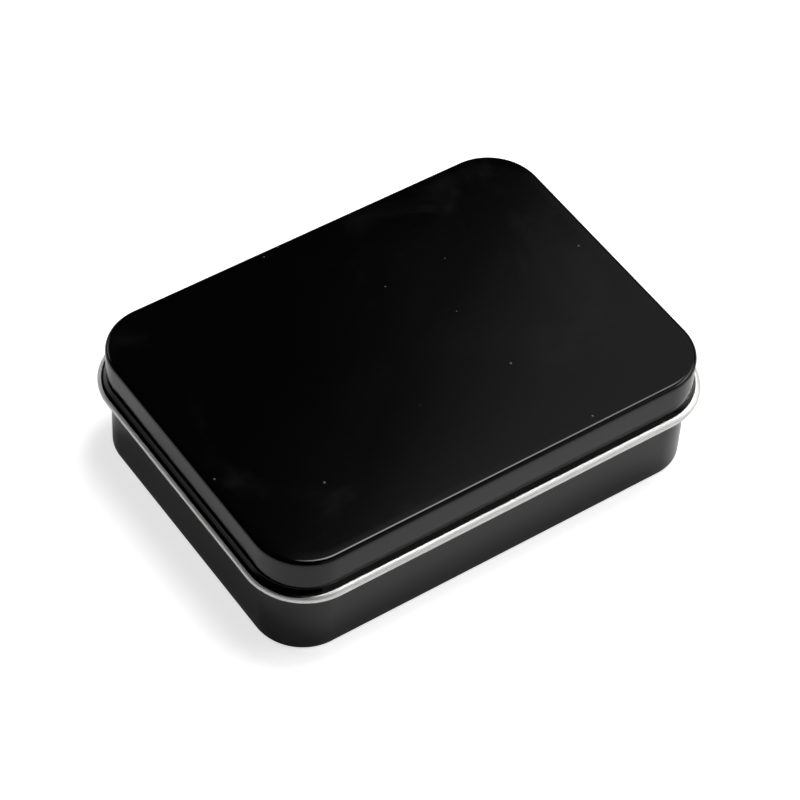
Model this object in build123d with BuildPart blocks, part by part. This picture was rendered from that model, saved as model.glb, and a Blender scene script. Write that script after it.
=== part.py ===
from build123d import *
import os
from math import pi, radians, sqrt

# Hinged tin for a deck of cards, pressed from thin tinplate. Millimetres, +Z up.
# The origin is on the ground under the middle of the tin, and +X runs along its long side.
# The lid turns on two short wires that lie inside its rolled rim along the back, at +Y.

# Tinplate
sheet = 0.25                # thickness of the plate that both halves are pressed from

# Lid: a flat panel, a rounded edge, and a short skirt that ends in a rolled rim
lid_length = 98.0           # outside of the skirt, along X
lid_width = 71.0            # outside of the skirt, along Y
lid_corner_radius = 11.0    # outside of the skirt, seen from above
lid_edge_radius = 1.0       # outside, from the panel into the skirt
tin_height = 26.4           # ground to the top of the closed lid
rim_height = 17.3           # ground to the middle of the rolled rim
shoulder_fall = 0.9         # height over which the skirt slopes out to the top of the rim

# Base: a drawn tray with a pressed-up floor panel and a folded-in top edge
base_edge_radius = 0.5      # outside, from the floor into the wall
floor_rise = 0.4            # height that the floor panel is pressed up by
floor_border = 6.0          # from the outside of the wall to the raised panel
hem_height = 2.5            # height of the plate folded back inside the top edge
hem_chamfer = 0.1

# Hinges: a wire through the lid's rim, and a tongue of the base rolled round it
wire_radius = 0.65
wire_length = 22.0
hinge_spacing = 48.0        # between the middles of the two hinges
tongue_width = 9.0
tongue_bend = 0.45          # middle of the plate, where the tongue leaves the wall
tongue_turn = 290.0         # degrees that the tongue is rolled through

# Clearances
wire_gap = 0.05             # wire to the rolled plate round it
wire_end_gap = 0.2          # wire to the pinched rim at each end
lid_gap = 0.65              # lid's skirt to the base's wall
seat_gap = 0.1              # closed lid to the base's top edge
swing_gap = 0.05            # lid's front rim to the base as the lid swings up
window_gap = 0.3            # tongue to the window in the lid
lance_gap = 0.2             # tongue to the wall that it was cut from

# The rolled rim is as wide as the wire needs, and its middle is the hinge axis
rim_radius = wire_radius + wire_gap + sheet
skirt_inside = lid_width / 2 - sheet
hinge_y = skirt_inside + rim_radius
shoulder_top = rim_height + rim_radius
skirt_foot = shoulder_top + shoulder_fall

# Base outline, inside the lid's skirt
base_inset = sheet + lid_gap
base_length = lid_length - 2 * base_inset
base_width = lid_width - 2 * base_inset
base_corner_radius = lid_corner_radius - base_inset

# The wall stops under the lid's panel, short of its rounded edge, and below the arc that the front rim swings on
edge_reach = max(lid_edge_radius - base_inset, 0)
edge_inside = lid_edge_radius - sheet - seat_gap
under_panel = tin_height - sheet - seat_gap
under_edge = under_panel - edge_inside + sqrt(max(edge_inside**2 - edge_reach**2, 0))
swing_radius = hinge_y + skirt_inside
swing_reach = lid_gap - swing_gap
under_swing = rim_height + sqrt(swing_radius**2 - (swing_radius - swing_reach) ** 2)
wall_top = min(under_panel, under_edge, under_swing)

# The tongue's flat length is the height of the window that it leaves in the wall
tongue_middle = rim_radius - sheet / 2
wall_middle = base_width / 2 - sheet / 2
tongue_root = rim_height - tongue_middle - tongue_bend
tongue_run = hinge_y - wall_middle - tongue_bend
tongue_length = tongue_bend * pi / 2 + tongue_run + tongue_middle * radians(tongue_turn)


# A rounded rectangle that starts and ends at the middle of the back
def outline(length, width, radius, height):
    x, y = length / 2 - radius, width / 2 - radius
    with BuildLine(Plane.XY.offset(height)) as edge:
        Line((0, width / 2), (x, width / 2))
        CenterArc((x, y), radius, 90, -90)
        Line((length / 2, y), (length / 2, -y))
        CenterArc((x, -y), radius, 0, -90)
        Line((x, -width / 2), (-x, -width / 2))
        CenterArc((-x, -y), radius, -90, -90)
        Line((-length / 2, -y), (-length / 2, y))
        CenterArc((-x, y), radius, 180, -90)
        Line((-x, width / 2), (0, width / 2))
    return edge.wire()


rim_path = outline(lid_length, lid_width, lid_corner_radius, skirt_foot)
hinge_places = GridLocations(hinge_spacing, 0, 2, 1)
os.makedirs("parts", exist_ok=True)

# Lid
with BuildPart() as lid_shell:
    with BuildSketch(Plane.XY.offset(skirt_foot)):
        RectangleRounded(lid_length, lid_width, lid_corner_radius)
    extrude(amount=tin_height - skirt_foot)
    fillet(lid_shell.faces().sort_by(Axis.Z)[-1].edges(), lid_edge_radius)
    offset(amount=-sheet, openings=lid_shell.faces().sort_by(Axis.Z)[0])
    # Rim: the skirt slopes out over a shoulder and is rolled into a closed bead
    with BuildSketch(Plane.YZ):
        with BuildLine():
            Polyline(
                (skirt_inside, rim_height),
                (skirt_inside, skirt_foot),
                (lid_width / 2, skirt_foot),
                (hinge_y, shoulder_top),
            )
            CenterArc((hinge_y, rim_height), rim_radius, 90, -270)
        make_face()
    sweep(path=rim_path)
    # Hollows for the wires, pinched shut at their ends
    for hinge in hinge_places:
        with BuildSketch(Plane.YZ.offset(hinge.position.X)):
            with Locations((hinge_y, rim_height)):
                Circle(wire_radius + wire_gap)
        extrude(amount=wire_length / 2 + wire_end_gap, both=True, mode=Mode.SUBTRACT)
    # Windows through the rim for the base's tongues
    with BuildSketch(Plane.XY.offset(shoulder_top + window_gap)):
        with Locations((0, hinge_y)):
            with GridLocations(hinge_spacing, 0, 2, 1):
                Rectangle(tongue_width + 2 * window_gap, 2 * (rim_radius + window_gap))
    extrude(amount=-2 * (rim_radius + window_gap), mode=Mode.SUBTRACT)
lid_shell.part.label = "lid_shell"
export_step(lid_shell.part, "parts/lid_shell.step")

# Base
with BuildPart() as base_shell:
    with BuildSketch():
        RectangleRounded(base_length, base_width, base_corner_radius)
    extrude(amount=wall_top)
    offset(amount=-sheet, openings=base_shell.faces().sort_by(Axis.Z)[-1])
    fillet(base_shell.faces().sort_by(Axis.Z)[0].edges(), base_edge_radius)
    # Floor panel, pressed up inside a flat border
    panel_length = base_length - 2 * floor_border
    panel_width = base_width - 2 * floor_border
    panel_radius = base_corner_radius - floor_border
    with BuildSketch():
        RectangleRounded(panel_length + 2 * sheet, panel_width + 2 * sheet, panel_radius + sheet)
    extrude(amount=floor_rise + sheet)
    with BuildSketch():
        RectangleRounded(panel_length, panel_width, panel_radius)
    extrude(amount=floor_rise, mode=Mode.SUBTRACT)
    # Hem: the top edge folded in and pressed flat against the wall
    with BuildSketch(Plane.XY.offset(wall_top)):
        RectangleRounded(base_length, base_width, base_corner_radius)
        offset(amount=-2 * sheet, kind=Kind.INTERSECTION, mode=Mode.SUBTRACT)
    extrude(amount=-hem_height)
    chamfer(base_shell.faces().sort_by(Axis.Z)[-1].edges(), hem_chamfer)
    # Windows that the tongues are cut from
    with BuildSketch(Plane.XY.offset(tongue_root)):
        with Locations((0, wall_middle)):
            with GridLocations(hinge_spacing, 0, 2, 1):
                Rectangle(tongue_width + 2 * lance_gap, 2 * sheet)
    extrude(amount=tongue_length, mode=Mode.SUBTRACT)
    # Tongues: out under the wire and rolled up round it
    for hinge in hinge_places:
        with BuildSketch(Plane.YZ.offset(hinge.position.X)):
            with BuildLine():
                CenterArc((wall_middle + tongue_bend, tongue_root), tongue_bend, 180, -90)
                Line((hinge_y - tongue_run, rim_height - tongue_middle), (hinge_y, rim_height - tongue_middle))
                CenterArc((hinge_y, rim_height), tongue_middle, -90, tongue_turn)
            trace(line_width=sheet)
        extrude(amount=tongue_width / 2, both=True)
base_shell.part.label = "base_shell"
export_step(base_shell.part, "parts/base_shell.step")


# Hinge wire, lying in the lid's rim across one window
def hinge_wire(middle_x):
    with BuildPart() as wire:
        with BuildSketch(Plane.YZ.offset(middle_x)):
            with Locations((hinge_y, rim_height)):
                Circle(wire_radius)
        extrude(amount=wire_length / 2, both=True)
    return wire


for side, hinge in zip(("left", "right"), hinge_places):
    wire = hinge_wire(hinge.position.X)
    wire.part.label = "hinge_wire_" + side
    export_step(wire.part, f"parts/hinge_wire_{side}.step")
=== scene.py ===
import bpy
import numpy as np
from mathutils import Matrix, Vector


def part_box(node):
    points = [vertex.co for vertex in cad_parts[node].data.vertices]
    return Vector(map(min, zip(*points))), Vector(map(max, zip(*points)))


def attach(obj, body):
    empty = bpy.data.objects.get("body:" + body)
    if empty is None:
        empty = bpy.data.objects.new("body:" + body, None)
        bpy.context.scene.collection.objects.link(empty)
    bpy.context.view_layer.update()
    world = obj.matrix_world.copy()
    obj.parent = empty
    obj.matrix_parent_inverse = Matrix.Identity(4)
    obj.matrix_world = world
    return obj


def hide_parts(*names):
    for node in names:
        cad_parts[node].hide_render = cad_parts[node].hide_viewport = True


# A black tin for a deck of cards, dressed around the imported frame. Sizes are in millimetres until a mesh is
# filled.
mm = 0.001
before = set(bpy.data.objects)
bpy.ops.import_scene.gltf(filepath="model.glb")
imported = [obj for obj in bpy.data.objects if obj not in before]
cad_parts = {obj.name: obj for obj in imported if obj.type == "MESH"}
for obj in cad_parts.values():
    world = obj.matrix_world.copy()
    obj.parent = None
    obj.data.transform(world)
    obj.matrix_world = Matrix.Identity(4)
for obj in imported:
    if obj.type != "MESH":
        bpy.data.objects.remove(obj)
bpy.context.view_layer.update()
lidHigh = np.array(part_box("lid_shell")[1]) / mm
baseLow, baseHigh = [np.array(corner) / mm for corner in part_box("base_shell")]
wireLow, wireHigh = [np.array(corner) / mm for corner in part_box("hinge_wire_left")]
print("frame loaded:", sorted(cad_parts))

# The plate that both halves are pressed from, and how finely it is drawn
plate = {
    "thickness": 0.25,
    "lidCorner": 11.0,          # outside of the lid's skirt, seen from above
    "straightStep": 2.0,        # longest mesh edge along a straight side
    "cornerSteps": 30,
    "flatRings": 24,            # rings of a flat panel, from its edge in
    "flatDepth": 30.0,          # length of profile that stands for the way from that edge to the middle
    "flatShare": 0.98,          # share of that way with rings, before the fan that closes the panel
    "sharpAngle": 35.0,         # degrees
}
halfPlate = plate["thickness"] / 2
# The hinge and the rolled rim round it, as the frame has them
hingeX = -(wireLow + wireHigh)[0] / 2
axisY, axisZ = ((wireLow + wireHigh) / 2)[1:]
wireRadius = (wireHigh - wireLow)[2] / 2
rimRadius = lidHigh[1] - axisY
curlRadius = rimRadius - halfPlate
skirtX, skirtY = lidHigh[:2] - 2 * rimRadius + plate["thickness"]
# Paint values of points that are bare or painted all over, far outside the coat's soft edge
bareValue, paintedValue = -1.0, 1.0
slack = 1e-6    # for rounding


# Rounded rectangle walked once round from the back left: on each side a corner centre slides in a straight
# line, then the outward direction makes a quarter turn about the next centre
def roundedPath(halfLength, halfWidth, radius, cuts):
    halfX, halfY = halfLength - radius, halfWidth - radius
    corners = np.array([(-halfX, halfY), (halfX, halfY), (halfX, -halfY), (-halfX, -halfY)])
    centres, angles = [], []
    for side in range(4):
        start, end = corners[side], corners[(side + 1) % 4]
        span = np.abs(end - start).max()
        along = np.linspace(0, 1, int(span / plate["straightStep"]) + 1)
        if side == 0:
            along = np.union1d(along, (cuts + halfX) / span)
        turn = np.linspace(0, 1, plate["cornerSteps"] + 1)[1:-1]
        centres += [start + along[:, None] * (end - start), np.repeat([end], len(turn), 0)]
        angles += [np.full(len(along), 90.0 - 90 * side), 90.0 - 90 * (side + turn)]
    centre, angle = np.concatenate(centres), np.radians(np.concatenate(angles))
    outward = np.column_stack([np.cos(angle), np.sin(angle)])
    return {"centre": centre, "outward": outward, "radius": radius, "edge": centre + radius * outward}


# Arc of a profile: centre plus radius times cosine and sine, from one angle to the other in degrees
def arcRun(out, up, radius, start, end, steps):
    angle = np.radians(np.linspace(start, end, steps + 1))
    return np.column_stack([out + radius * np.cos(angle), up + radius * np.sin(angle)])


# Straight run of a profile: start plus a share of the way to the end, at even steps and at any heights that it
# has to meet
def lineRun(start, end, steps, heights=()):
    share = np.linspace(0, 1, steps + 1)
    if len(heights):
        share = np.union1d(share, (np.array(heights) - start[1]) / (end[1] - start[1]))
    return np.array(start) + share[:, None] * (np.array(end) - np.array(start))


# Runs end to end, with each shared point kept once
def joinRuns(*runs):
    return np.concatenate([runs[0]] + [run[1:] for run in runs[1:]])


# Distance walked down a profile to each of its points: the running sum of its steps
def walkedDown(line):
    return np.cumsum(np.hypot(*np.diff(line, axis=0, prepend=line[:1]).T))


# The two faces of the plate: its middle line moved half a thickness to the left and to the right of its tangent
def plateFaces(line):
    tangent = np.gradient(line, axis=0)
    tangent /= np.linalg.norm(tangent, axis=1)[:, None]
    left = np.column_stack([-tangent[:, 1], tangent[:, 0]])
    return line + halfPlate * left, line - halfPlate * left


# A profile carried round a path: corner centre plus outward direction times (corner radius + offset). Past
# flatOut the offset stops and the ring is drawn in towards the middle of the tin instead, and sinks by a dish
# times the square of one minus the ring's share squared.
def carryRound(path, line, flatOut, dish):
    out = np.maximum(line[:, 0], flatOut)[:, None, None]
    share = 1 + (np.minimum(line[:, 0], flatOut) - flatOut) / plate["flatDepth"]
    plan = (path["centre"] + path["outward"] * (path["radius"] + out)) * share[:, None, None]
    height = line[:, 1] - dish * (1 - share**2) ** 2
    return np.concatenate([plan, np.broadcast_to(height[:, None, None], plan.shape[:2] + (1,))], axis=2)


# Closed skin of a plate: the painted grid, the bare grid turned round, and a wall at each border between cells
# that are kept and cells that are cut away. Where middleRow is given, that row closes in a fan on one point.
def plateSkin(painted, bare, keep, wraps=True, middleRow=None):
    rows, columns = painted.shape[:2]
    count = rows * columns
    number = np.arange(count).reshape(rows, columns)
    if wraps:
        number = np.column_stack([number, number[:, 0]])
    faces = np.stack((number[:-1, :-1], number[:-1, 1:], number[1:, 1:], number[1:, :-1]), axis=-1)[keep]
    quads = [faces, faces[:, ::-1] + count]
    points = [painted.reshape(-1, 3), bare.reshape(-1, 3)]
    fans = np.zeros((0, 3), int)
    down = np.pad(keep, ((1, 1), (0, 0)))
    if middleRow is not None:
        down[middleRow] = True
        ring = number[middleRow, :-1]
        pair = [np.roll(ring, -1), ring] if middleRow == 0 else [ring, np.roll(ring, -1)]
        pole = np.full(len(ring), 2 * count)
        fans = np.concatenate([np.column_stack(pair + [pole]), np.column_stack(pair[::-1] + [pole])])
        fans[len(ring):] += (count, count, 1)
        points += [painted[middleRow].mean(axis=0)[None], bare[middleRow].mean(axis=0)[None]]
    across = np.column_stack([keep[:, -1], keep]) if wraps else np.pad(keep, ((0, 0), (1, 1)))
    lines = across.shape[1] - 1
    for first, second, border in (
        (number[:, :-1], number[:, 1:], down[1:] & ~down[:-1]),
        (number[:, 1:], number[:, :-1], down[:-1] & ~down[1:]),
        (number[1:, :lines], number[:-1, :lines], across[:, 1:] & ~across[:, :-1]),
        (number[:-1, :lines], number[1:, :lines], across[:, :-1] & ~across[:, 1:]),
    ):
        a, b = first[border], second[border]
        quads.append(np.column_stack([b, a, a + count, b + count]))
    return np.concatenate(points), np.concatenate(quads), fans


# Paint value of each point of a skin: on the painted grid, how far up the profile it lies from where the paint
# stops, in millimetres. The painted grid's pole counts as painted, and the bare grid and its pole as bare.
def paintOf(skin, line, paintStop):
    depth = (paintStop[None, :] - walkedDown(line)[:, None]).ravel()
    paint = np.full(len(skin[0]), bareValue)
    paint[:len(depth)] = depth
    paint[2 * len(depth):2 * len(depth) + 1] = paintedValue
    return paint


# Fills a mesh from closed skins, each with its points, quads, triangles and paint, and leaves unused points out
def meshPiece(name, skins):
    starts = np.cumsum([0] + [len(skin[0]) for skin in skins])
    points = np.concatenate([skin[0] for skin in skins])
    quads = np.concatenate([skin[1] + start for skin, start in zip(skins, starts)])
    fans = np.concatenate([skin[2] + start for skin, start in zip(skins, starts)])
    paint = np.concatenate([skin[3] for skin in skins])
    used, packed = np.unique(np.concatenate([quads.ravel(), fans.ravel()]), return_inverse=True)
    sides = np.repeat([4, 3], [len(quads), len(fans)])
    mesh = bpy.data.meshes.new(name)
    mesh.vertices.add(len(used))
    mesh.vertices.foreach_set("co", (points[used] * mm).astype(np.float32).ravel())
    mesh.loops.add(len(packed))
    mesh.loops.foreach_set("vertex_index", packed.ravel().astype(np.int32))
    mesh.polygons.add(len(sides))
    mesh.polygons.foreach_set("loop_start", (np.cumsum(sides) - sides).astype(np.int32))
    mesh.update(calc_edges=True)
    layer = mesh.attributes.new("paint", "FLOAT", "POINT")
    layer.data.foreach_set("value", paint[used].astype(np.float32))
    mesh.validate()
    mesh.shade_smooth()
    mesh.set_sharp_from_angle(angle=np.radians(plate["sharpAngle"]))
    print(name, "has", len(mesh.polygons), "faces")
    return placeObject(name, mesh)


def placeObject(name, data):
    made = bpy.data.objects.new(name, data)
    bpy.context.scene.collection.objects.link(made)
    return made


# Where a path is cut for the two hinge windows: half a width to each side of each hinge
def windowSides(width):
    return np.ravel([(x - width / 2, x + width / 2) for x in (-hingeX, hingeX)])


# Which columns of a path lie in those windows: on its straight back, less than half a width from a hinge
def windowColumns(path, width):
    middle = (path["edge"] + np.roll(path["edge"], -1, axis=0)) / 2
    onBack = np.isclose(path["outward"][:, 1], 1)
    return onBack & (np.abs(np.abs(middle[:, 0]) - hingeX) < width / 2)


lid = {
    "edgeRadius": 1.0,          # outside, from the panel into the skirt
    "edgeSteps": 14,
    "skirtSteps": 8,
    "shoulderOut": 0.55,        # outside, how far the shoulder slopes out and down from the skirt to the rim
    "shoulderFall": 0.9,
    "slopeSteps": 3,
    "skirtBend": 0.3,           # middle of the plate, from the skirt into the slope
    "skirtBendSteps": 5,
    "rimBend": 0.25,            # and from the slope into the rim
    "rimBendSteps": 6,
    "curlEnd": -215.0,          # angle that the rim is rolled to, from 90 at its top
    "curlSteps": 34,
    "panelDish": 0.1,
    # How far past the rim's top the paint reaches, in degrees, at each eighth of a turn from +X round by +Y.
    # The coat was printed a little off the middle of the blank.
    "paintTurns": (-14.0, -6.0, 1.0, 4.0, 28.0, 40.0, 1.0, -10.0, -14.0),
    "windowWidth": 9.6,
    "windowAbove": 0.3,         # over the rim
    "speckShare": 0.5,          # share of the places for a dust speck that have one
    "scratchShare": 0.32,
}


# The lid's middle line from the panel's middle: flat, rounded edge, skirt, sloping shoulder, then the rim's
# roll. Each bend of the shoulder starts a radius times the tangent of half its turn before the corner.
def lidLine(windowTop):
    edge, skirtBend, rimBend = lid["edgeRadius"], lid["skirtBend"], lid["rimBend"]
    top, rimOut, rimTop = lidHigh[2], axisY - skirtY, axisZ + curlRadius
    slope = np.arctan2(lid["shoulderOut"], lid["shoulderFall"])
    rest = np.pi / 2 - slope
    fall = np.array([np.sin(slope), -np.cos(slope)])
    upper = np.array([-halfPlate, axisZ + rimRadius + lid["shoulderFall"] - halfPlate * np.tan(slope / 2)])
    lower = np.array([lid["shoulderOut"] - halfPlate * np.tan(rest / 2), rimTop])
    upperStart, lowerStart = skirtBend * np.tan(slope / 2), rimBend * np.tan(rest / 2)
    turned = 180 + np.degrees(slope)
    middle = (-edge - plate["flatShare"] * plate["flatDepth"], top - halfPlate)
    return joinRuns(
        lineRun(middle, (-edge, top - halfPlate), plate["flatRings"]),
        arcRun(-edge, top - edge, edge - halfPlate, 90, 0, lid["edgeSteps"]),
        lineRun((-halfPlate, top - edge), upper + (0, upperStart), lid["skirtSteps"]),
        arcRun(skirtBend - halfPlate, upper[1] + upperStart, skirtBend, 180, turned, lid["skirtBendSteps"]),
        lineRun(upper + upperStart * fall, lower - lowerStart * fall, lid["slopeSteps"], [windowTop]),
        arcRun(lower[0] + lowerStart, rimTop + rimBend, rimBend, turned, 270, lid["rimBendSteps"]),
        lineRun((lower[0] + lowerStart, rimTop), (rimOut, rimTop), 1),
        arcRun(rimOut, axisZ, curlRadius, 90, lid["curlEnd"], lid["curlSteps"]),
    )


# The paint's edge on the rim, as a turn at each column of a path: between two of the given turns it goes from
# one to the other by the squared sine of a quarter turn times the way between them
def paintTurn(path):
    turns = np.array(lid["paintTurns"])
    parts = len(turns) - 1
    way = np.degrees(np.arctan2(path["outward"][:, 1], path["outward"][:, 0])) % 360 / (360 / parts)
    whole = np.floor(way + slack).astype(int)
    ease = np.sin(np.pi / 2 * (way - whole)) ** 2
    return turns[whole % parts] * (1 - ease) + turns[whole % parts + 1] * ease


def makeLid():
    windowTop = axisZ + rimRadius + lid["windowAbove"]
    path = roundedPath(skirtX, skirtY, plate["lidCorner"], windowSides(lid["windowWidth"]))
    line = lidLine(windowTop)
    painted, bare = plateFaces(line)
    grids = [carryRound(path, face, -lid["edgeRadius"], lid["panelDish"]) for face in (painted, bare)]
    belowTop = line[1:, 1] < windowTop - slack
    keep = ~(belowTop[:, None] & windowColumns(path, lid["windowWidth"])[None, :])
    skin = plateSkin(*grids, keep, middleRow=0)
    rimStart = walkedDown(line)[-1 - lid["curlSteps"]]
    paint = paintOf(skin, line, rimStart + curlRadius * np.radians(paintTurn(path)))
    return meshPiece("coated_lid", [skin + (paint,)])


base = {
    "edgeRadius": 0.5,          # outside, from the wall into the floor
    "edgeSteps": 8,
    "wallSteps": 14,
    "floorBorder": 6.0,         # from the outside of the wall to the raised panel
    "borderSteps": 4,
    "floorRise": 0.4,
    "riseBend": 0.2,            # middle of the plate, where the panel rises
    "riseSteps": 5,
    "hemHeight": 2.5,
    "hemSteps": 4,
    "hemGap": 0.01,             # between the folded layers
    "foldSteps": 8,
    "paintBelowTop": 0.25,      # bare margin of the plate, outside, at the top edge
    "windowWidth": 9.4,
    "tongueWidth": 9.0,
    "tongueColumns": 7,
    "tongueBend": 0.45,         # middle of the plate, where a tongue leaves the wall
    "tongueBendSteps": 8,
    "tongueRunSteps": 3,
    "tongueTurn": 290.0,        # degrees that a tongue is rolled through
    "tongueTurnSteps": 36,
    "speckShare": 0.1,
    "scratchShare": 0.3,
}


# The base's middle line from the hem's raw edge: up, folded over, down the wall, bottom edge, border, and the
# raised floor panel in to its middle. The panel's edge is given with it.
def baseLine(wallTop, windowEnds):
    edge, bend = base["edgeRadius"], base["riseBend"]
    fold = halfPlate + base["hemGap"] / 2
    foldFoot = wallTop - fold - halfPlate
    inside = -halfPlate - 2 * fold
    riseOut = -base["floorBorder"] + halfPlate + bend
    riseTop = halfPlate + base["floorRise"]
    flatOut = riseOut - 2 * bend
    middle = (flatOut - plate["flatShare"] * plate["flatDepth"], riseTop)
    return joinRuns(
        lineRun((inside, wallTop - base["hemHeight"]), (inside, foldFoot), base["hemSteps"]),
        arcRun(-halfPlate - fold, foldFoot, fold, 180, 0, base["foldSteps"]),
        lineRun((-halfPlate, foldFoot), (-halfPlate, edge), base["wallSteps"], windowEnds),
        arcRun(-edge, edge, edge - halfPlate, 0, -90, base["edgeSteps"]),
        lineRun((-edge, halfPlate), (riseOut, halfPlate), base["borderSteps"]),
        arcRun(riseOut, halfPlate + bend, bend, -90, -180, base["riseSteps"]),
        arcRun(flatOut, riseTop - bend, bend, 0, 90, base["riseSteps"]),
        lineRun((flatOut, riseTop), middle, plate["flatRings"]),
    ), flatOut


# A tongue of the wall: out under the wire and rolled up round it, as a strip across X, painted all over outside
def tongueSkin(middleX, root, wallMiddle):
    bend, halfWidth = base["tongueBend"], base["tongueWidth"] / 2
    line = joinRuns(
        arcRun(wallMiddle + bend, root, bend, 180, 90, base["tongueBendSteps"]),
        lineRun((wallMiddle + bend, root + bend), (axisY, root + bend), base["tongueRunSteps"]),
        arcRun(axisY, axisZ, curlRadius, -90, base["tongueTurn"] - 90, base["tongueTurnSteps"]),
    )[::-1]
    across = np.linspace(middleX - halfWidth, middleX + halfWidth, base["tongueColumns"])
    grids = []
    for face in plateFaces(line):
        x, y = np.meshgrid(across, face[:, 0])
        grids.append(np.dstack([x, y, np.broadcast_to(face[:, 1:], x.shape)]))
    skin = plateSkin(*grids, np.ones((len(line) - 1, len(across) - 1), bool), wraps=False)
    return skin + (paintOf(skin, line, np.full(len(across), 2 * walkedDown(line)[-1])),)


def makeBase():
    inset = skirtX - baseHigh[0]
    halfWidth = -baseLow[1]
    wallMiddle = halfWidth - halfPlate
    root = axisZ - curlRadius - base["tongueBend"]
    bendLength = base["tongueBend"] * np.pi / 2
    runLength = axisY - wallMiddle - base["tongueBend"]
    windowTop = root + (bendLength + runLength + curlRadius * np.radians(base["tongueTurn"]))
    path = roundedPath(baseHigh[0], halfWidth, plate["lidCorner"] - inset, windowSides(base["windowWidth"]))
    line, flatOut = baseLine(baseHigh[2], [windowTop, root])
    grids = [carryRound(path, face, flatOut, 0.0) for face in plateFaces(line)]
    middle = (line[1:] + line[:-1]) / 2
    inWindow = (middle[:, 0] > -plate["thickness"]) & (middle[:, 1] > root) & (middle[:, 1] < windowTop)
    keep = ~(inWindow[:, None] & windowColumns(path, base["windowWidth"])[None, :])
    skin = plateSkin(*grids, keep, middleRow=-1)
    # The paint starts below the fold and runs to the middle of the floor, so here it is counted downwards
    paintStart = walkedDown(line)[base["hemSteps"] + base["foldSteps"]] + base["paintBelowTop"]
    paint = -paintOf(skin, line, np.full(len(path["centre"]), paintStart))
    count = len(line) * len(path["centre"])
    paint[count:] = bareValue
    paint[2 * count] = paintedValue
    tongues = [tongueSkin(x, root, wallMiddle) for x in (-hingeX, hingeX)]
    return meshPiece("coated_base", [skin + (paint,)] + tongues)


wire = {
    "endRound": 0.12,
    "endSteps": 4,
    "endFlat": 0.4,             # innermost ring of an end, as a share of the radius
    "sides": 28,
    "stations": 12,             # rings from one round to the other
}


# A drawn wire along X: rings of radius times cosine and sine, drawn in at each end over a small round
def makeWire(name, middleX):
    half, endRound = (wireHigh - wireLow)[0] / 2, wire["endRound"]
    end = arcRun(half - endRound, wireRadius - endRound, endRound, 90, 0, wire["endSteps"])
    right = np.concatenate([end, [(half, wire["endFlat"] * wireRadius)]])
    between = np.linspace(-half + endRound, half - endRound, wire["stations"])[1:-1]
    body = np.column_stack([between, np.full(len(between), wireRadius)])
    line = np.concatenate([right[::-1] * (-1, 1), body, right])
    angle = np.linspace(0, 2 * np.pi, wire["sides"], endpoint=False)
    ring = np.stack([line[:, 1:] * np.cos(angle), line[:, 1:] * np.sin(angle)], axis=-1) + (axisY, axisZ)
    x = np.broadcast_to(line[:, :1] + middleX, ring.shape[:2])[..., None]
    points = np.concatenate([x, ring], axis=2).reshape(-1, 3)
    count = len(points)
    number = np.arange(count).reshape(len(line), -1)
    number = np.column_stack([number, number[:, 0]])
    quads = np.stack((number[:-1, :-1], number[:-1, 1:], number[1:, 1:], number[1:, :-1]), axis=-1)
    first, last = number[0], number[-1]
    fans = np.concatenate([
        np.column_stack([first[1:], first[:-1], np.full(len(angle), count)]),
        np.column_stack([last[:-1], last[1:], np.full(len(angle), count + 1)]),
    ])
    points = np.concatenate([points, [(middleX - half, axisY, axisZ), (middleX + half, axisY, axisZ)]])
    return meshPiece(name, [(points, quads.reshape(-1, 4), fans, np.full(len(points), bareValue))])


# Feeds a node's inputs from values or from other sockets
def feedNode(tree, node, inputs):
    for key, value in inputs.items():
        if isinstance(value, bpy.types.NodeSocket):
            tree.links.new(value, node.inputs[key])
        else:
            node.inputs[key].default_value = value
    return node


def addNode(tree, kind, inputs=None, **settings):
    node = tree.nodes.new("ShaderNode" + kind)
    for key, value in settings.items():
        setattr(node, key, value)
    return feedNode(tree, node, inputs or {})


def mathNode(tree, operation, a, b=0.0, clamp=False):
    return addNode(tree, "Math", {0: a, 1: b}, operation=operation, use_clamp=clamp).outputs[0]


def vectorNode(tree, operation, a, b):
    return addNode(tree, "VectorMath", {0: a, 1: b}, operation=operation).outputs["Vector"]


def rangeNode(tree, value, low, high, toLow=0.0, toHigh=1.0, smooth=False):
    kind = "SMOOTHSTEP" if smooth else "LINEAR"
    inputs = {"Value": value, "From Min": low, "From Max": high, "To Min": toLow, "To Max": toHigh}
    return addNode(tree, "MapRange", inputs, interpolation_type=kind).outputs["Result"]


# A Mix node has its sockets for numbers at 2 and 3, and for colours at 6 and 7
def mixValue(tree, share, a, b):
    return addNode(tree, "Mix", {0: share, 2: a, 3: b}, data_type="FLOAT").outputs[0]


def mixColour(tree, share, a, b):
    return addNode(tree, "Mix", {0: share, 6: a, 7: b}, data_type="RGBA").outputs[2]


def noiseNode(tree, place, size, detail, **more):
    inputs = {"Vector": place, "Scale": size, "Detail": detail}
    inputs.update({key.capitalize(): value for key, value in more.items()})
    return addNode(tree, "TexNoise", inputs).outputs["Fac"]


# Nearly all of a noise's values lie between the first two of these
noiseLow, noiseHigh, noiseMiddle = 0.3, 0.7, 0.5


# A value that varies with a noise, from a spread below its middle to a spread above it
def spreadNode(tree, noise, middle, spread):
    return rangeNode(tree, noise, noiseLow, noiseHigh, middle - spread, middle + spread)


# Shader node groups, built once. Sizes of noises are in turns per metre.
def nodeGroup(name, inputs, outputs):
    group = bpy.data.node_groups.new(name, "ShaderNodeTree")
    for socket, kind, value in [("Coordinates", "Vector", None)] + inputs:
        made = group.interface.new_socket(name=socket, in_out="INPUT", socket_type="NodeSocket" + kind)
        if value is not None:
            made.default_value = value
    for socket in outputs:
        group.interface.new_socket(name=socket, in_out="OUTPUT", socket_type="NodeSocketFloat")
    return group, group.nodes.new("NodeGroupInput").outputs, group.nodes.new("NodeGroupOutput")


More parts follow.
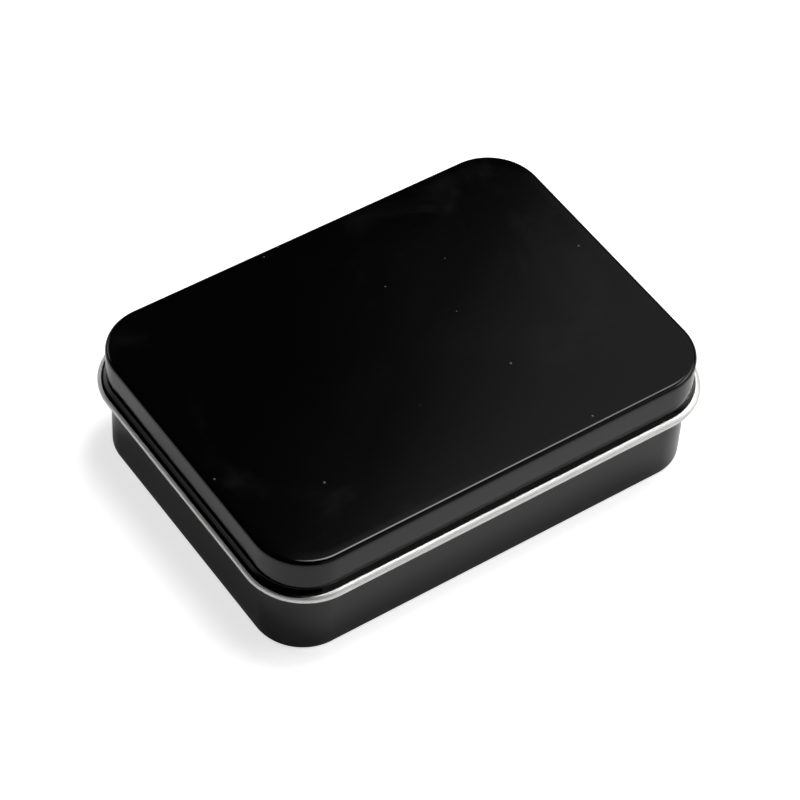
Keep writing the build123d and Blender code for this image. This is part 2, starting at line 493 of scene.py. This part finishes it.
paintEdge = {
    "softEdge": 0.035,          # from the middle of the edge to where it ends
    "wander": 0.1,              # how far the edge is moved about
    "wanderSize": 700.0,
}


# Cover of the paint: the paint value moved about by a noise, then a smooth step across a soft edge
def paintCoverGroup():
    inputs = [("Paint", "Float", paintedValue), ("Soft edge", "Float", paintEdge["softEdge"])]
    inputs += [("Wander", "Float", paintEdge["wander"])]
    tree, source, sink = nodeGroup("paint cover", inputs, ["Cover"])
    noise = noiseNode(tree, source["Coordinates"], paintEdge["wanderSize"], 3.0)
    shift = mathNode(tree, "MULTIPLY", mathNode(tree, "SUBTRACT", noise, noiseMiddle), source["Wander"])
    depth = mathNode(tree, "ADD", source["Paint"], shift)
    soft = source["Soft edge"]
    cover = rangeNode(tree, depth, mathNode(tree, "MULTIPLY", soft, -1.0), soft, smooth=True)
    feedNode(tree, sink, {"Cover": cover})
    return tree


coat = {
    "colour": (0.0009, 0.0009, 0.001, 1.0),
    "ior": 1.39,
    "roughness": 0.09,
    "peelSize": 900.0,
    "peelHeight": 1.2e-6,       # metres
    "cloudSize": 30.0,
    "cloud": 0.015,             # spread of the roughness
    "smudgeSize": 38.0,
    "smudgeShift": (-0.08, -0.04, 0.0),     # metres
    "smudgeFrom": 0.52,         # values of the noise between which a smudge comes up
    "smudgeTo": 0.72,
    "smudgeColour": (0.0045, 0.0045, 0.0042, 1.0),
    "smudgeRoughness": 0.06,    # over the clean coat's
}


# Coat: fine orange peel as a height, broad cloudy differences of gloss, and smudges where a bent noise is high
def coatGroup():
    inputs = [("Peel size", "Float", coat["peelSize"]), ("Cloud size", "Float", coat["cloudSize"])]
    inputs += [("Smudge size", "Float", coat["smudgeSize"]), ("Smudge shift", "Vector", coat["smudgeShift"])]
    tree, source, sink = nodeGroup("coat texture", inputs, ["Peel", "Cloud", "Smudge"])
    place = source["Coordinates"]
    shifted = vectorNode(tree, "ADD", place, source["Smudge shift"])
    bent = noiseNode(tree, shifted, source["Smudge size"], 5.0, roughness=0.55, distortion=0.6)
    feedNode(tree, sink, {
        "Peel": noiseNode(tree, place, source["Peel size"], 1.0),
        "Cloud": noiseNode(tree, place, source["Cloud size"], 4.0, roughness=0.6),
        "Smudge": rangeNode(tree, bent, coat["smudgeFrom"], coat["smudgeTo"], smooth=True),
    })
    return tree


handling = {
    "speckSpacing": 160.0,      # places for a speck per metre
    "speckSize": 0.045,         # share of the spacing, times a number that differs from cell to cell
    "speckLeast": 0.4,          # the least of that number; the most is 1 more
    "speckCore": 0.5,           # share of a speck before it fades out
    "speckFaintest": 0.15,
    "speckColour": (0.3, 0.29, 0.27, 1.0),
    "speckRoughness": 0.8,
    "hairTurn": (0.3, 0.2, 0.9),            # radians
    "hairDraw": (45.0, 420.0, 420.0),       # turns per metre along and across
    "hairWidth": 0.006,         # of the noise's value
    "hairRoughness": 0.15,      # over the coat's
    "patchSize": 55.0,
    "patchFade": 0.06,          # of the noise's value
}


# Handling: dust specks are the middles of Voronoi cells whose random value is under the share asked for, and
# hair scratches are the middle line of a stretched noise where a second noise lets them show
def handlingGroup():
    inputs = [("Speck spacing", "Float", handling["speckSpacing"]), ("Speck share", "Float", 0.0)]
    inputs += [("Speck size", "Float", handling["speckSize"]), ("Scratch share", "Float", 0.0)]
    tree, source, sink = nodeGroup("handling marks", inputs, ["Specks", "Scratches"])
    place = source["Coordinates"]
    cells = addNode(tree, "TexVoronoi", {"Vector": place, "Scale": source["Speck spacing"]})
    chance, breadth, brightness = addNode(tree, "SeparateColor", {0: cells.outputs["Color"]}).outputs
    chosen = mathNode(tree, "LESS_THAN", chance, source["Speck share"])
    scale = mathNode(tree, "ADD", breadth, handling["speckLeast"])
    size = mathNode(tree, "MULTIPLY", source["Speck size"], scale)
    core = mathNode(tree, "MULTIPLY", size, handling["speckCore"])
    near = rangeNode(tree, cells.outputs["Distance"], core, size, 1.0, 0.0)
    faint = rangeNode(tree, brightness, 0.0, 1.0, handling["speckFaintest"], 1.0)
    specks = mathNode(tree, "MULTIPLY", mathNode(tree, "MULTIPLY", near, chosen), faint)
    turned = addNode(tree, "Mapping", {
        "Vector": place, "Rotation": handling["hairTurn"], "Scale": handling["hairDraw"],
    }).outputs[0]
    middle = mathNode(tree, "SUBTRACT", noiseNode(tree, turned, 1.0, 1.0), noiseMiddle)
    hair = rangeNode(tree, mathNode(tree, "ABSOLUTE", middle), 0.0, handling["hairWidth"], 1.0, 0.0)
    limit = mathNode(tree, "SUBTRACT", 1.0, source["Scratch share"])
    patch = noiseNode(tree, place, handling["patchSize"], 2.0)
    shown = rangeNode(tree, patch, limit, mathNode(tree, "ADD", limit, handling["patchFade"]))
    feedNode(tree, sink, {"Specks": specks, "Scratches": mathNode(tree, "MULTIPLY", hair, shown)})
    return tree


bareTin = {
    "colour": (0.96, 0.96, 0.945, 1.0),
    "dull": (0.88, 0.88, 0.87, 1.0),
    "metallic": 0.62,           # under its pale bloom
    "roughness": 0.48,
    "spread": 0.08,
    "draw": (60.0, 2600.0, 2600.0),         # turns per metre along and across
    "grainHeight": 1.5e-6,      # metres
    "bloomSize": 70.0,
}


# Rolled metal: a noise drawn out along the rolling direction, and a cloudy bloom of the tin
def rolledGroup():
    inputs = [("Draw", "Vector", bareTin["draw"]), ("Bloom size", "Float", bareTin["bloomSize"])]
    tree, source, sink = nodeGroup("rolled metal", inputs, ["Grain", "Bloom"])
    place = source["Coordinates"]
    drawn = vectorNode(tree, "MULTIPLY", place, source["Draw"])
    feedNode(tree, sink, {
        "Grain": noiseNode(tree, drawn, 1.0, 3.0),
        "Bloom": noiseNode(tree, place, source["Bloom size"], 5.0, roughness=0.65),
    })
    return tree


groups = {
    "cover": paintCoverGroup(), "coat": coatGroup(), "handling": handlingGroup(), "rolled": rolledGroup(),
}
print("node groups built:", sorted(groups))


def placeGroup(tree, key, place, inputs=None):
    node = tree.nodes.new("ShaderNodeGroup")
    node.node_tree = groups[key]
    return feedNode(tree, node, {"Coordinates": place, **(inputs or {})}).outputs


def newMaterial(name):
    material = bpy.data.materials.new(name)
    material.use_nodes = True
    tree = material.node_tree
    place = tree.nodes.new("ShaderNodeTexCoord").outputs["Object"]
    return material, tree, place, tree.nodes["Principled BSDF"]


# Black coat outside, bare tin inside and on the rolled rim, with the paint value of the mesh between them
def coatedTinplate(name, piece):
    material, tree, place, shader = newMaterial(name)
    paint = addNode(tree, "Attribute", attribute_name="paint").outputs["Fac"]
    cover = placeGroup(tree, "cover", place, {"Paint": paint})["Cover"]
    texture = placeGroup(tree, "coat", place)
    metal = placeGroup(tree, "rolled", place)
    marks = placeGroup(tree, "handling", place, {
        "Speck share": piece["speckShare"], "Scratch share": piece["scratchShare"],
    })
    specks = mathNode(tree, "MULTIPLY", marks["Specks"], cover)
    tin = mixColour(tree, metal["Bloom"], bareTin["dull"], bareTin["colour"])
    handled = mixColour(tree, texture["Smudge"], coat["colour"], coat["smudgeColour"])
    colour = mixColour(tree, specks, mixColour(tree, cover, tin, handled), handling["speckColour"])
    cloudy = spreadNode(tree, texture["Cloud"], coat["roughness"], coat["cloud"])
    dulled = mathNode(tree, "MULTIPLY", texture["Smudge"], coat["smudgeRoughness"])
    brushed = spreadNode(tree, metal["Grain"], bareTin["roughness"], bareTin["spread"])
    unmarked = mixValue(tree, cover, brushed, mathNode(tree, "ADD", cloudy, dulled))
    scratches = mathNode(tree, "MULTIPLY", marks["Scratches"], handling["hairRoughness"])
    scratched = mathNode(tree, "ADD", unmarked, scratches)
    peel = mathNode(tree, "MULTIPLY", texture["Peel"], coat["peelHeight"])
    grain = mathNode(tree, "MULTIPLY", metal["Grain"], bareTin["grainHeight"])
    height = mixValue(tree, cover, grain, peel)
    bump = addNode(tree, "Bump", {"Height": height, "Distance": 1.0, "Strength": 1.0})
    feedNode(tree, shader, {
        "Base Color": colour,
        "Metallic": mixValue(tree, cover, bareTin["metallic"], 0.0),
        "Roughness": mixValue(tree, specks, scratched, handling["speckRoughness"]),
        "IOR": coat["ior"],
        "Normal": bump.outputs["Normal"],
    })
    return material


steel = {
    "colour": (0.56, 0.55, 0.53, 1.0),
    "dull": (0.392, 0.385, 0.371, 1.0),
    "roughness": 0.3,
    "spread": 0.1,
    "draw": (200.0, 9000.0, 9000.0),
    "scratchShare": 0.5,
}


def drawnSteel():
    material, tree, place, shader = newMaterial("drawn steel")
    metal = placeGroup(tree, "rolled", place, {"Draw": steel["draw"]})
    marks = placeGroup(tree, "handling", place, {"Speck share": 0.0, "Scratch share": steel["scratchShare"]})
    drawn = spreadNode(tree, metal["Grain"], steel["roughness"], steel["spread"])
    feedNode(tree, shader, {
        "Base Color": mixColour(tree, metal["Bloom"], steel["dull"], steel["colour"]),
        "Metallic": 1.0,
        "Roughness": mathNode(tree, "ADD", drawn, marks["Scratches"]),
    })
    return material


lidPiece = makeLid()
lidPiece.data.materials.append(coatedTinplate("coated tinplate, lid", lid))
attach(lidPiece, "lid")
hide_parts("lid_shell")

basePiece = makeBase()
basePiece.data.materials.append(coatedTinplate("coated tinplate, base", base))
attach(basePiece, "base")
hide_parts("base_shell")

wireSteel = drawnSteel()
for side, middleX in (("left", -hingeX), ("right", hingeX)):
    wirePiece = makeWire("drawn_wire_" + side, middleX)
    wirePiece.data.materials.append(wireSteel)
    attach(wirePiece, "lid")
    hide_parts("hinge_wire_" + side)
print("pieces made")

floor = {
    "reach": 12.0,              # metres
    "sink": 0.02,               # below the tin's underside
    "colour": (0.96, 0.96, 0.955, 1.0),
    "dull": (0.9504, 0.9504, 0.94545, 1.0),
    "patchSize": 6.0,
    "roughness": 0.9,
    "seen": 0.7,                # light that it gives the camera
    "mirrored": 0.07,           # and what mirrors it
}
white = (1.0, 1.0, 1.0, 1.0)


# A pale floor: one square just below the tin's underside
def makeFloor():
    mesh = bpy.data.meshes.new("floor")
    reach = floor["reach"]
    corners = [(x * reach, y * reach, -floor["sink"] * mm) for x, y in ((-1, -1), (1, -1), (1, 1), (-1, 1))]
    mesh.from_pydata(corners, [], [(0, 1, 2, 3)])
    material, tree, place, shader = newMaterial("pale floor")
    tone = noiseNode(tree, place, floor["patchSize"], 2.0)
    rays = tree.nodes.new("ShaderNodeLightPath").outputs
    seen = mathNode(tree, "MULTIPLY", rays["Is Camera Ray"], floor["seen"])
    through = mathNode(tree, "ADD", rays["Is Glossy Ray"], rays["Is Transmission Ray"], clamp=True)
    mirrored = mathNode(tree, "MULTIPLY", through, floor["mirrored"])
    feedNode(tree, shader, {
        "Base Color": mixColour(tree, tone, floor["dull"], floor["colour"]),
        "Roughness": floor["roughness"],
        "Specular IOR Level": 0.0,
        "Emission Color": white,
        "Emission Strength": mathNode(tree, "ADD", seen, mirrored),
    })
    mesh.materials.append(material)
    placeObject("floor", mesh)


makeFloor()

# Soft boxes: where each hangs as seen from the tin, how far off in metres, the direction of its first side, its
# size in metres, how bright it is, and the degrees that its grid lets it spread
softBoxes = {
    "key": {
        "towards": (0.315, 0.082, 0.945), "distance": 1.0, "along": (0.86, 0.51, 0),
        "size": (0.62, 0.46), "level": 13.5, "spread": 44,
    },
    "right": {
        "towards": (0.78, -0.42, 0.46), "distance": 0.7, "along": (0.5, 0.86, 0),
        "size": (0.60, 0.40), "level": 3.6, "spread": 60,
    },
    "back": {
        "towards": (-0.25, 0.85, 0.46), "distance": 1.2, "along": (1, 0.2, 0),
        "size": (0.6, 0.35), "level": 3.0, "spread": 40,
    },
    "front": {
        "towards": (0.42, -0.82, 0.38), "distance": 1.4, "along": (0.9, 0.45, 0),
        "size": (1.8, 1.0), "level": 0.25, "spread": 150,
    },
}


# An area lamp that faces the tin, with a grid that narrows its spread. Its power is pi times area times level,
# times one minus half the spread over its tangent.
def hangSoftBox(name, box):
    lamp = bpy.data.lights.new(name, "AREA")
    lamp.shape = "RECTANGLE"
    lamp.size, lamp.size_y = box["size"]
    half = np.radians(box["spread"] / 2)
    lamp.spread = 2 * half
    lamp.energy = np.pi * lamp.size * lamp.size_y * box["level"] * (1 - half / np.tan(half))
    towards, along = Vector(box["towards"]).normalized(), Vector(box["along"])
    side = (along - towards * along.dot(towards)).normalized()
    turn = Matrix((side, towards.cross(side), towards)).transposed().to_4x4()
    placeObject(name, lamp).matrix_world = Matrix.Translation(towards * box["distance"]) @ turn


for name, box in softBoxes.items():
    hangSoftBox(name, box)

sky = {
    "low": 0.03,
    "high": 0.01,
    "fadeFrom": 0.02,           # height of the direction looked in
    "fadeTo": 0.2,
    "glow": 0.45,
    "glowTowards": (0.6, 0.1, 0.79),
    "glowFrom": 0.880,          # cosine between the direction looked in and the glow's
    "glowTo": 0.908,
}


# Studio surroundings: pale near the horizon and dark overhead, by the height of the direction looked in, with a
# soft glow beside the key box, by the cosine between that direction and the glow's
def makeSky():
    world = bpy.data.worlds.new("studio")
    world.use_nodes = True
    tree = world.node_tree
    direction = tree.nodes.new("ShaderNodeTexCoord").outputs["Generated"]
    height = addNode(tree, "SeparateXYZ", {0: direction}).outputs["Z"]
    level = rangeNode(tree, height, sky["fadeFrom"], sky["fadeTo"], sky["low"], sky["high"], smooth=True)
    towards = tuple(Vector(sky["glowTowards"]).normalized())
    near = addNode(tree, "VectorMath", {0: direction, 1: towards}, operation="DOT_PRODUCT").outputs["Value"]
    glow = rangeNode(tree, near, sky["glowFrom"], sky["glowTo"], 0.0, sky["glow"], smooth=True)
    strength = mathNode(tree, "ADD", level, glow)
    feedNode(tree, tree.nodes["Background"], {"Color": white, "Strength": strength})
    bpy.context.scene.world = world


makeSky()
print("stage set")

# The camera, in degrees and millimetres: where it stands round the point it looks at, and its lens
shot = {
    "azimuth": -37.157,
    "elevation": 48.891,
    "roll": 3.871,
    "distance": 634.64,
    "aim": (0.933, 0.867, 10.0),
    "lens": 147.57,
    "sensor": 36.0,
    "clip": (0.01, 100.0),      # metres
}


def placeCamera():
    turn, tilt, roll = np.radians([shot["azimuth"], shot["elevation"], shot["roll"]])
    back = Vector((np.sin(turn) * np.cos(tilt), -np.cos(turn) * np.cos(tilt), np.sin(tilt)))
    level = Vector((np.cos(turn), np.sin(turn), 0))
    side = level * np.cos(roll) + back.cross(level) * np.sin(roll)
    data = bpy.data.cameras.new("camera")
    data.lens, data.sensor_width = shot["lens"], shot["sensor"]
    data.clip_start, data.clip_end = shot["clip"]
    camera = placeObject("camera", data)
    turned = Matrix((side, back.cross(side), back)).transposed().to_4x4()
    camera.matrix_world = Matrix.Translation((Vector(shot["aim"]) + back * shot["distance"]) * mm) @ turned
    bpy.context.scene.camera = camera


placeCamera()
bpy.context.scene.view_settings.view_transform = "Standard"
print("camera placed")
